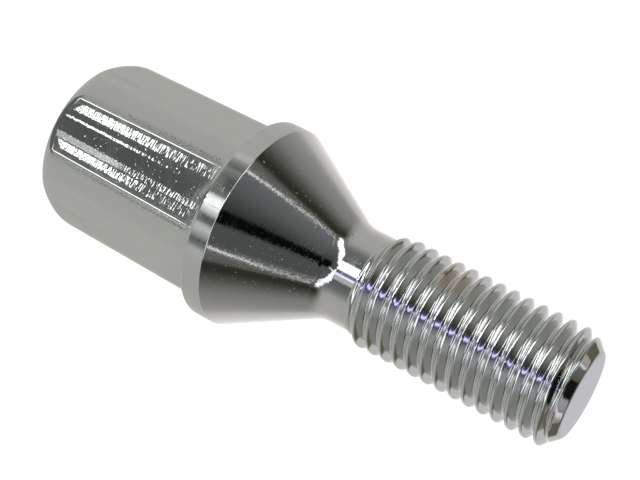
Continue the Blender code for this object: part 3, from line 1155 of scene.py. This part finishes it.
# %% Tubes
CONE_TUBE_AT = (28.5, 46.5)
CONE_TUBE_SLANT = 3.7
CONE_TUBE_WIDTH = (3.2, 1.2)
CONE_TUBE_HEIGHTS = (26.0, 32.5)
CONE_TUBE_TONE = 215
tube_distance = (away - CONE_TUBE_AT[1] - (height - CONE_TUBE_AT[0]) * CONE_TUBE_SLANT).size()
cone_tubes = rise(tube_distance, *CONE_TUBE_WIDTH) * inside(height, *CONE_TUBE_HEIGHTS, soft=1)
colour = painted(tree, cone_tubes, colour, light(CONE_TUBE_TONE))
HEAD_TUBE_SIDES = (2.1, 4.3)
HEAD_TUBE_HEIGHTS = (-36.6, -28.6)
HEAD_TUBE = (3.0, 3.0, 3.0, 1)
head_tubes = inside(away, *HEAD_TUBE_SIDES, soft=0.8) * inside(height, *HEAD_TUBE_HEIGHTS, soft=0.6)
colour = painted(tree, head_tubes, colour, HEAD_TUBE)
print("nodes of the room with its lamps:", len(tree.nodes))

# %% [markdown]
# ### What the grooves show
# Light leaves a groove of the thread after two or three reflections, and then it comes from parts of the room
# that the rest of the bolt mirrors once. One wall can't have the right tone for both. A real photographer
# would accept that, or retouch it. Here the world counts the reflections: the Light Path's ray depth is one
# more than their number when a ray reaches the world. A flank is seen after two, the bottom of a groove after
# three, and each gets a wall of its own, with a violet lamp in front that gives the flanks their glints. The
# tones are slanted a little with the height, so that the glints lean as the thread does.

# %% Wall for two reflections
FLANK_MIDDLE = -41
FLANK_SLANT = 0.7
FLANK_TOP = (-16, -26)
path = tree.nodes.new("ShaderNodeLightPath")
reflections = Field(tree, path.outputs["Ray Depth"]) - 1
flank_wall = stretch(bearing + (height - FLANK_MIDDLE) * FLANK_SLANT, -180, 180, [
    (-110, (113, 118, 112)), (-70, (116, 119, 112)), (-52, (130, 131, 127)), (-40, (122, 123, 119)),
    (-24, (98, 97, 91)), (-12, (70, 67, 56)), (-3, (46, 46, 40)), (5, (62, 62, 84)),
    (8.5, (96, 92, 158)), (11, (214, 209, 252)), (15.5, (228, 225, 255)), (18.5, (116, 110, 184)),
    (22, (66, 67, 92)), (30, (112, 116, 119)), (45, (135, 138, 138)), (58, (136, 138, 137)),
    (76, (114, 117, 112)), (130, (113, 118, 112))], 2)
colour = painted(tree, rise(reflections, 1.4, 1.6) * rise(height, *FLANK_TOP), colour, flank_wall)
print("nodes of the room with the flanks' wall:", len(tree.nodes))

# %% Wall for three reflections
groove_wall = stretch(bearing, -180, 180, [
    (-135, (152, 158, 153)), (-115, (121, 128, 122)), (-85, (112, 120, 115)), (-66, (100, 106, 104)),
    (-57, (145, 150, 149)), (-50, (228, 234, 233)), (-42, (249, 255, 253)), (-18, (249, 255, 253)),
    (-11, (200, 206, 205)), (-5, (96, 101, 102)), (2, (136, 140, 158)), (7, (196, 198, 225)),
    (12, (166, 169, 192)), (20, (93, 97, 104)), (26, (108, 113, 115)), (31, (202, 209, 207)),
    (42, (180, 187, 185)), (52, (145, 150, 149)), (60, (122, 127, 127)), (84, (130, 136, 131)),
    (115, (116, 124, 118))], 3)
colour = painted(tree, rise(reflections, 2.4, 2.6), colour, groove_wall)
print("nodes of the room with the grooves' wall:", len(tree.nodes))

# %% [markdown]
# ### White for the camera
# Looked at directly, the room is plain white, as behind any picture in a catalogue. Only the bolt shows the
# room described above. A backdrop of white cloth would do as well, if the bolt didn't mirror it.

# %% World output
background = tree.nodes.new("ShaderNodeBackground")
seen = painted(tree, Field(tree, path.outputs["Is Camera Ray"]), colour, (1, 1, 1, 1))
feed(tree, seen, background.inputs["Color"])
world_output = tree.nodes.new("ShaderNodeOutputWorld")
tree.links.new(background.outputs[0], world_output.inputs["Surface"])
print("nodes in the studio:", len(tree.nodes))

# %% [markdown]
# ## The floor
# A plain pale sheet of paper. It shines a little by itself, so it is evenly white and shows no more than a
# breath of shadow, and the bolt doesn't mirror it, because the world already holds all that the bolt shows.

# %% Floor
floor_reach = 3.0
PAPER_GREY = 0.8
PAPER_GLOW = 0.9

floor_mesh = bpy.data.meshes.new("floor")
floor_corners = [(x * floor_reach, y * floor_reach, 0) for x, y in ((-1, -1), (1, -1), (1, 1), (-1, 1))]
floor_mesh.from_pydata(floor_corners, [], [(0, 1, 2, 3)])
floor = bpy.data.objects.new("floor", floor_mesh)
bpy.context.scene.collection.objects.link(floor)
paper = bpy.data.materials.new("white_paper")
paper.use_nodes = True
paper_shader = paper.node_tree.nodes["Principled BSDF"]
paper_shader.inputs["Base Color"].default_value = (PAPER_GREY, PAPER_GREY, PAPER_GREY, 1)
paper_shader.inputs["Roughness"].default_value = 1.0
paper_shader.inputs["Specular IOR Level"].default_value = 0.0
paper_shader.inputs["Emission Color"].default_value = (1, 1, 1, 1)
paper_shader.inputs["Emission Strength"].default_value = PAPER_GLOW
floor_mesh.materials.append(paper)
floor.visible_glossy = False
print("floor width in m:", 2 * floor_reach)

# %% [markdown]
# ## The camera
# The camera stands on the bolt's -Y side, where one flat of the head faces it, and is raised a little towards
# the tip. It is rolled so that the bolt's tip points down to the right of the picture. Its distance follows
# from two numbers that can be measured in a picture: how many pixels a millimetre covers at the bolt's axis,
# and the focal length in pixels. A camera could also be aimed by a constraint, but then the roll would have
# to be found by trial.

# %% Lens
FRAME_WIDTH = 640
focal_pixels = 1349.0
camera_data = bpy.data.cameras.new("camera")
camera_data.sensor_width = 36.0
camera_data.lens = focal_pixels * camera_data.sensor_width / FRAME_WIDTH
camera_data.clip_start = 0.005
camera_data.clip_end = 20.0
camera = bpy.data.objects.new("camera", camera_data)
bpy.context.scene.collection.objects.link(camera)
bpy.context.scene.camera = camera
print("lens mm:", round(camera_data.lens, 1))

# %% Place and roll of the camera
pixels_per_mm = 10.11
rise_angle = math.radians(22.6)
roll_angle = math.radians(27.8)
aim_height = 28.337
aim_offset_pixels = 15.7
back = np.array([0, -math.cos(rise_angle), math.sin(rise_angle)])
along_axis = np.array([0, math.sin(rise_angle), math.cos(rise_angle)])
side_up = np.array([-1.0, 0, 0])
camera_place = np.array([0, 0, aim_height]) + back * focal_pixels / pixels_per_mm
dip = math.atan(aim_offset_pixels / focal_pixels)
back_tilted = math.cos(dip) * back - math.sin(dip) * side_up
up_tilted = math.cos(dip) * side_up + math.sin(dip) * back
right = math.cos(roll_angle) * along_axis + math.sin(roll_angle) * up_tilted
up = -math.sin(roll_angle) * along_axis + math.cos(roll_angle) * up_tilted
turned = np.eye(4)
turned[:3] = np.stack([right, up, back_tilted, camera_place * MM], axis=1)
camera.matrix_world = turned.T.tolist()
print("camera at mm:", np.round(camera_place, 1))

# %% [markdown]
# ## Colours of the picture
# The plain Standard view keeps white paper white and shows each tone as it was chosen. A film-like view would
# bend the tones, and all the tones of the studio would have to be chosen anew.

# %% View
view = bpy.context.scene.view_settings
view.view_transform = "Standard"
view.look = "None"
print("view:", view.view_transform)
